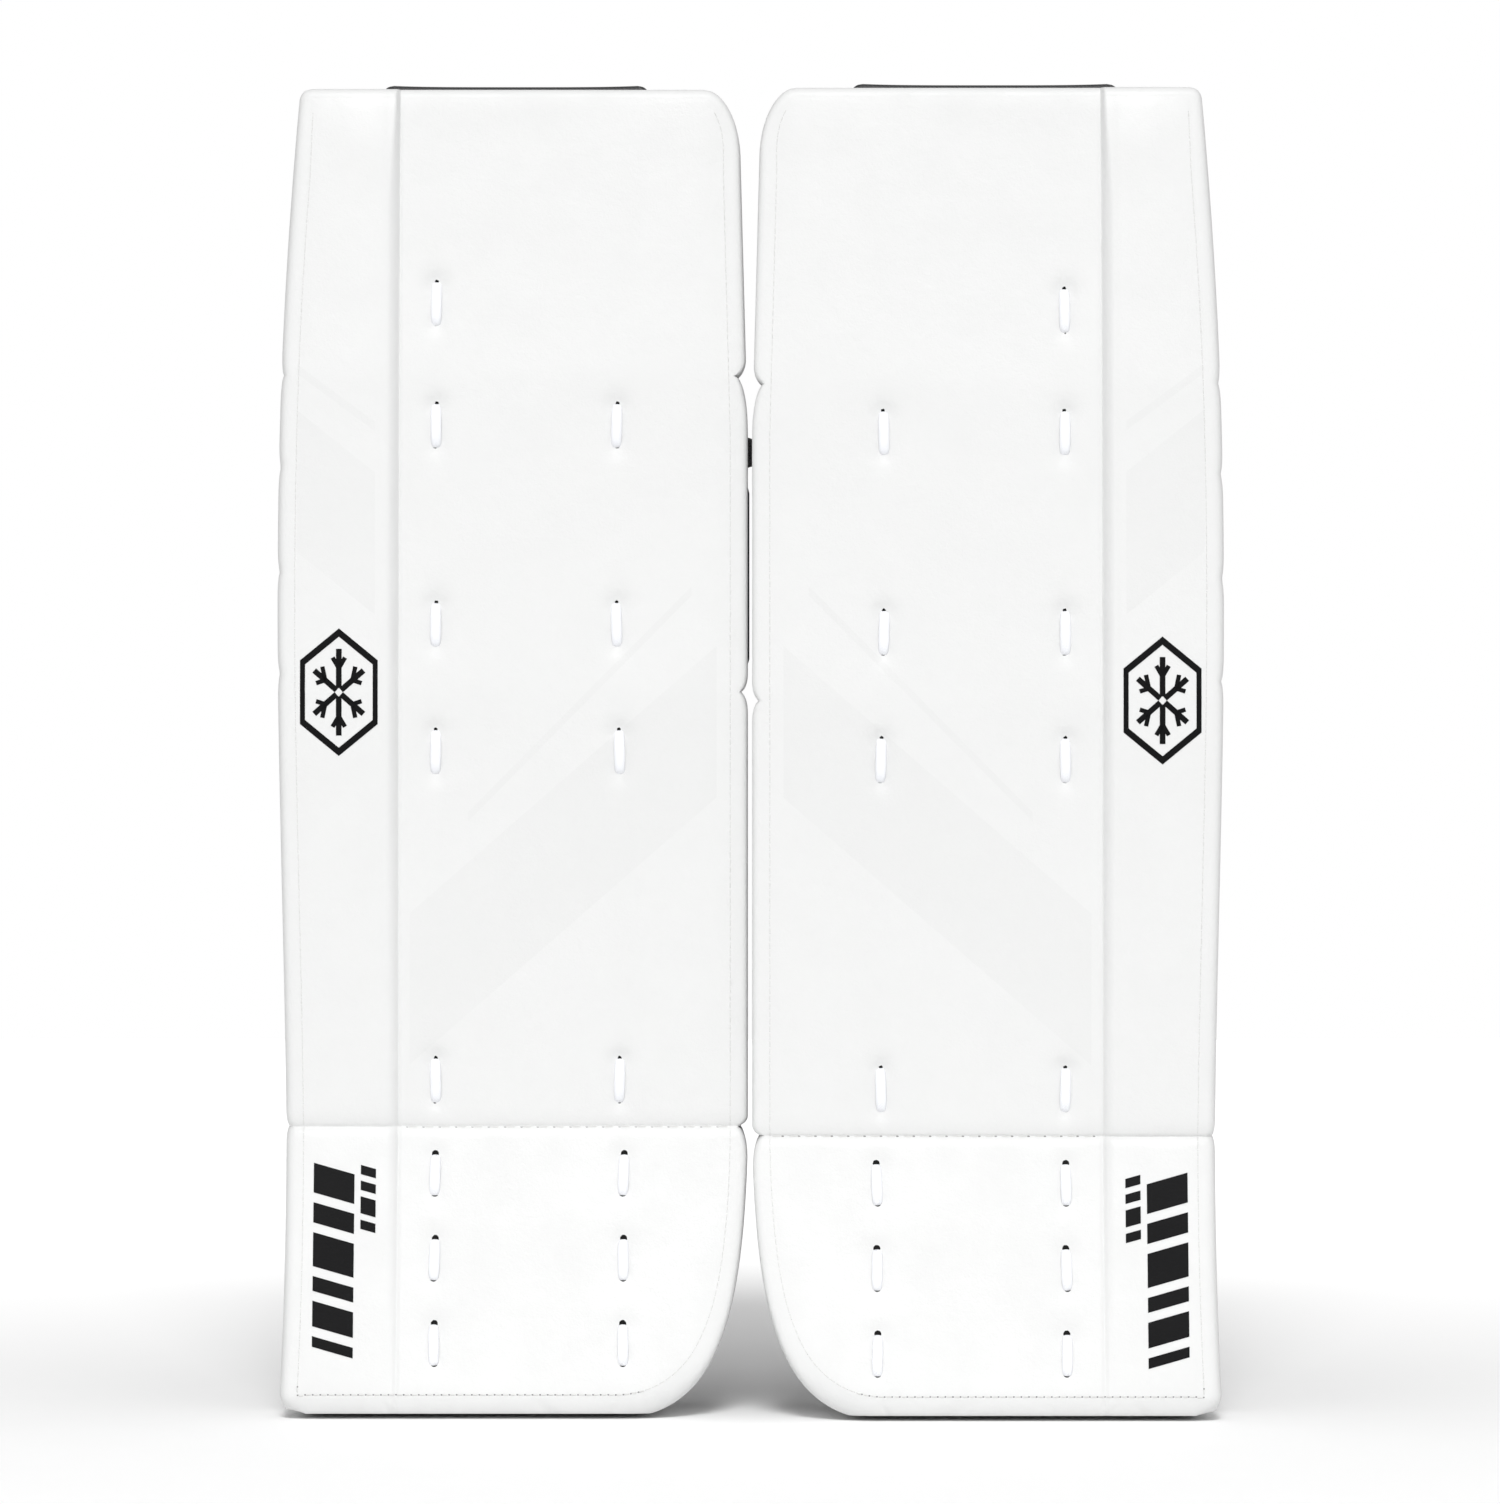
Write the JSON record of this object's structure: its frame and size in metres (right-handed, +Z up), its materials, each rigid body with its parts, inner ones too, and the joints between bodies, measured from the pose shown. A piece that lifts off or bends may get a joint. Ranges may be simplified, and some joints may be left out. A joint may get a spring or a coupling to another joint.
{
  "type": "goalie leg pads",
  "caption": "Pair of youth hockey goalie leg pads with flexing boot, knee and thigh sections, leg channel wings, knee blocks and webbing straps",
  "frame": {"origin": "on the floor, at the middle of the pair's box, between the two pads", "axes": "+Z up the pads, -Y out of their front faces, +X towards the wearer's left pad"},
  "size_m": [0.452, 0.175, 0.6415],
  "materials": {
    "white_leather": "satin",
    "foam": "matte",
    "black_nylon": "matte",
    "black_webbing": "satin",
    "white_lace": "matte",
    "black_plastic": "satin"
  },
  "bodies": {
    "right_boot": {"right_boot_core": "foam", "right_boot_cover": "white_leather", "right_boot_back": "black_nylon", "right_boot_laces": "white_lace", "right_boot_cradle": "black_nylon", "right_toe_bridge": "black_plastic"},
    "right_shin": {"right_shin_core": "foam", "right_shin_cover": "white_leather", "right_shin_back": "black_nylon", "right_shin_laces": "white_lace", "right_shin_cradle": "black_nylon"},
    "right_knee": {"right_knee_core": "foam", "right_knee_cover": "white_leather", "right_knee_back": "black_nylon", "right_knee_laces": "white_lace", "right_knee_cradle": "black_nylon"},
    "right_thigh": {"right_thigh_core": "foam", "right_thigh_cover": "white_leather", "right_thigh_back": "black_nylon", "right_thigh_laces": "white_lace"},
    "right_calf_wing_inner": {"right_calf_wing_inner": "white_leather"},
    "right_calf_wing_outer": {"right_calf_wing_outer": "white_leather"},
    "right_knee_wing": {"right_knee_wing": "white_leather"},
    "right_knee_block": {"right_knee_block": "black_nylon"},
    "right_calf_strap_upper": {"right_calf_strap_upper": "black_webbing"},
    "right_calf_strap_lower": {"right_calf_strap_lower": "black_webbing"},
    "right_knee_strap": {"right_knee_strap": "black_webbing"},
    "right_boot_strap": {"right_boot_strap": "black_webbing"},
    "right_boot_keeper": {"right_boot_keeper": "black_plastic"},
    "right_toe_tie": {"right_toe_tie": "black_webbing"},
    "left_boot": {"left_boot_core": "foam", "left_boot_cover": "white_leather", "left_boot_back": "black_nylon", "left_boot_laces": "white_lace", "left_boot_cradle": "black_nylon", "left_toe_bridge": "black_plastic"},
    "left_shin": {"left_shin_core": "foam", "left_shin_cover": "white_leather", "left_shin_back": "black_nylon", "left_shin_laces": "white_lace", "left_shin_cradle": "black_nylon"},
    "left_knee": {"left_knee_core": "foam", "left_knee_cover": "white_leather", "left_knee_back": "black_nylon", "left_knee_laces": "white_lace", "left_knee_cradle": "black_nylon"},
    "left_thigh": {"left_thigh_core": "foam", "left_thigh_cover": "white_leather", "left_thigh_back": "black_nylon", "left_thigh_laces": "white_lace"},
    "left_calf_wing_inner": {"left_calf_wing_inner": "white_leather"},
    "left_calf_wing_outer": {"left_calf_wing_outer": "white_leather"},
    "left_knee_wing": {"left_knee_wing": "white_leather"},
    "left_knee_block": {"left_knee_block": "black_nylon"},
    "left_calf_strap_upper": {"left_calf_strap_upper": "black_webbing"},
    "left_calf_strap_lower": {"left_calf_strap_lower": "black_webbing"},
    "left_knee_strap": {"left_knee_strap": "black_webbing"},
    "left_boot_strap": {"left_boot_strap": "black_webbing"},
    "left_boot_keeper": {"left_boot_keeper": "black_plastic"},
    "left_toe_tie": {"left_toe_tie": "black_webbing"}
  },
  "joints": [
    {"name": "right_boot_flex", "type": "hinge", "parent": "right_boot", "child": "right_shin", "pos_m": [0, -0.04147, 0.138], "axis": [-1, 0, 0], "range_deg": [-5, 15], "stiffness_Nm_per_rad": 20},
    {"name": "right_knee_flex", "type": "hinge", "parent": "right_shin", "child": "right_knee", "pos_m": [0, -0.04147, 0.346], "axis": [-1, 0, 0], "range_deg": [-4, 12], "stiffness_Nm_per_rad": 20},
    {"name": "right_thigh_flex", "type": "hinge", "parent": "right_knee", "child": "right_thigh", "pos_m": [0, -0.0335, 0.498], "axis": [-1, 0, 0], "range_deg": [-4, 12], "stiffness_Nm_per_rad": 20},
    {"name": "right_calf_wing_inner_swing", "type": "hinge", "parent": "right_shin", "child": "right_calf_wing_inner", "pos_m": [-0.037, 0.02193, 0.242], "axis": [0, 0, 1], "range_deg": [0, 35]},
    {"name": "right_calf_wing_outer_swing", "type": "hinge", "parent": "right_shin", "child": "right_calf_wing_outer", "pos_m": [-0.179, 0.02193, 0.242], "axis": [0, 0, 1], "range_deg": [0, 70]},
    {"name": "right_knee_wing_swing", "type": "hinge", "parent": "right_knee", "child": "right_knee_wing", "pos_m": [-0.183, 0.02619, 0.42557], "axis": [0, 0.0523, 0.9986], "range_deg": [0, 70]},
    {"name": "right_knee_block_swing", "type": "hinge", "parent": "right_knee", "child": "right_knee_block", "pos_m": [-0.068, 0.02482, 0.41463], "axis": [0, 0.0523, 0.9986], "range_deg": [0, 12], "stiffness_Nm_per_rad": 2},
    {"name": "right_calf_strap_upper_swing", "type": "hinge", "parent": "right_calf_wing_outer", "child": "right_calf_strap_upper", "pos_m": [-0.183, 0.08543, 0.288], "axis": [0, 0, 1], "range_deg": [0, 110]},
    {"name": "right_calf_strap_lower_swing", "type": "hinge", "parent": "right_calf_wing_outer", "child": "right_calf_strap_lower", "pos_m": [-0.183, 0.08543, 0.2], "axis": [0, 0, 1], "range_deg": [0, 110]},
    {"name": "right_knee_strap_swing", "type": "hinge", "parent": "right_knee_wing", "child": "right_knee_strap", "pos_m": [-0.187, 0.08583, 0.4649], "axis": [0, 0.0523, 0.9986], "range_deg": [0, 110]},
    {"name": "right_boot_strap_swing", "type": "hinge", "parent": "right_boot", "child": "right_boot_strap", "pos_m": [-0.175, 0.04603, 0.082], "axis": [0, 0, 1], "range_deg": [0, 110]},
    {"name": "right_boot_keeper_slide", "type": "slide", "parent": "right_boot_strap", "child": "right_boot_keeper", "axis": [-1, 0, 0], "range_m": [-0.02, 0.02]},
    {"name": "right_toe_tie_swing", "type": "hinge", "parent": "right_boot", "child": "right_toe_tie", "pos_m": [-0.112, -0.0053, 0.02394], "axis": [1, 0, 0], "range_deg": [0, 60]},
    {"name": "left_boot_flex", "type": "hinge", "parent": "left_boot", "child": "left_shin", "pos_m": [0, -0.05347, 0.134], "axis": [-1, 0, 0], "range_deg": [-5, 15], "stiffness_Nm_per_rad": 20},
    {"name": "left_knee_flex", "type": "hinge", "parent": "left_shin", "child": "left_knee", "pos_m": [0, -0.05347, 0.342], "axis": [-1, 0, 0], "range_deg": [-4, 12], "stiffness_Nm_per_rad": 20},
    {"name": "left_thigh_flex", "type": "hinge", "parent": "left_knee", "child": "left_thigh", "pos_m": [0, -0.0455, 0.494], "axis": [-1, 0, 0], "range_deg": [-4, 12], "stiffness_Nm_per_rad": 20},
    {"name": "left_calf_wing_inner_swing", "type": "hinge", "parent": "left_shin", "child": "left_calf_wing_inner", "pos_m": [0.037, 0.00993, 0.238], "axis": [0, 0, -1], "range_deg": [0, 35]},
    {"name": "left_calf_wing_outer_swing", "type": "hinge", "parent": "left_shin", "child": "left_calf_wing_outer", "pos_m": [0.179, 0.00993, 0.238], "axis": [0, 0, -1], "range_deg": [0, 70]},
    {"name": "left_knee_wing_swing", "type": "hinge", "parent": "left_knee", "child": "left_knee_wing", "pos_m": [0.183, 0.01419, 0.42157], "axis": [0, -0.0523, -0.9986], "range_deg": [0, 70]},
    {"name": "left_knee_block_swing", "type": "hinge", "parent": "left_knee", "child": "left_knee_block", "pos_m": [0.068, 0.01282, 0.41063], "axis": [0, -0.0523, -0.9986], "range_deg": [0, 12], "stiffness_Nm_per_rad": 2},
    {"name": "left_calf_strap_upper_swing", "type": "hinge", "parent": "left_calf_wing_outer", "child": "left_calf_strap_upper", "pos_m": [0.183, 0.07343, 0.284], "axis": [0, 0, -1], "range_deg": [0, 110]},
    {"name": "left_calf_strap_lower_swing", "type": "hinge", "parent": "left_calf_wing_outer", "child": "left_calf_strap_lower", "pos_m": [0.183, 0.07343, 0.196], "axis": [0, 0, -1], "range_deg": [0, 110]},
    {"name": "left_knee_strap_swing", "type": "hinge", "parent": "left_knee_wing", "child": "left_knee_strap", "pos_m": [0.187, 0.07383, 0.4609], "axis": [0, -0.0523, -0.9986], "range_deg": [0, 110]},
    {"name": "left_boot_strap_swing", "type": "hinge", "parent": "left_boot", "child": "left_boot_strap", "pos_m": [0.175, 0.03403, 0.082], "axis": [0, 0, -1], "range_deg": [0, 110]},
    {"name": "left_boot_keeper_slide", "type": "slide", "parent": "left_boot_strap", "child": "left_boot_keeper", "axis": [1, 0, 0], "range_m": [-0.02, 0.02]},
    {"name": "left_toe_tie_swing", "type": "hinge", "parent": "left_boot", "child": "left_toe_tie", "pos_m": [0.112, -0.0173, 0.01994], "axis": [1, 0, 0], "range_deg": [0, 60]},
    {"name": "pads_apart", "type": "slide", "parent": "right_boot", "child": "left_boot", "axis": [1, 0, 0], "range_m": [0, 0.25]}
  ]
}
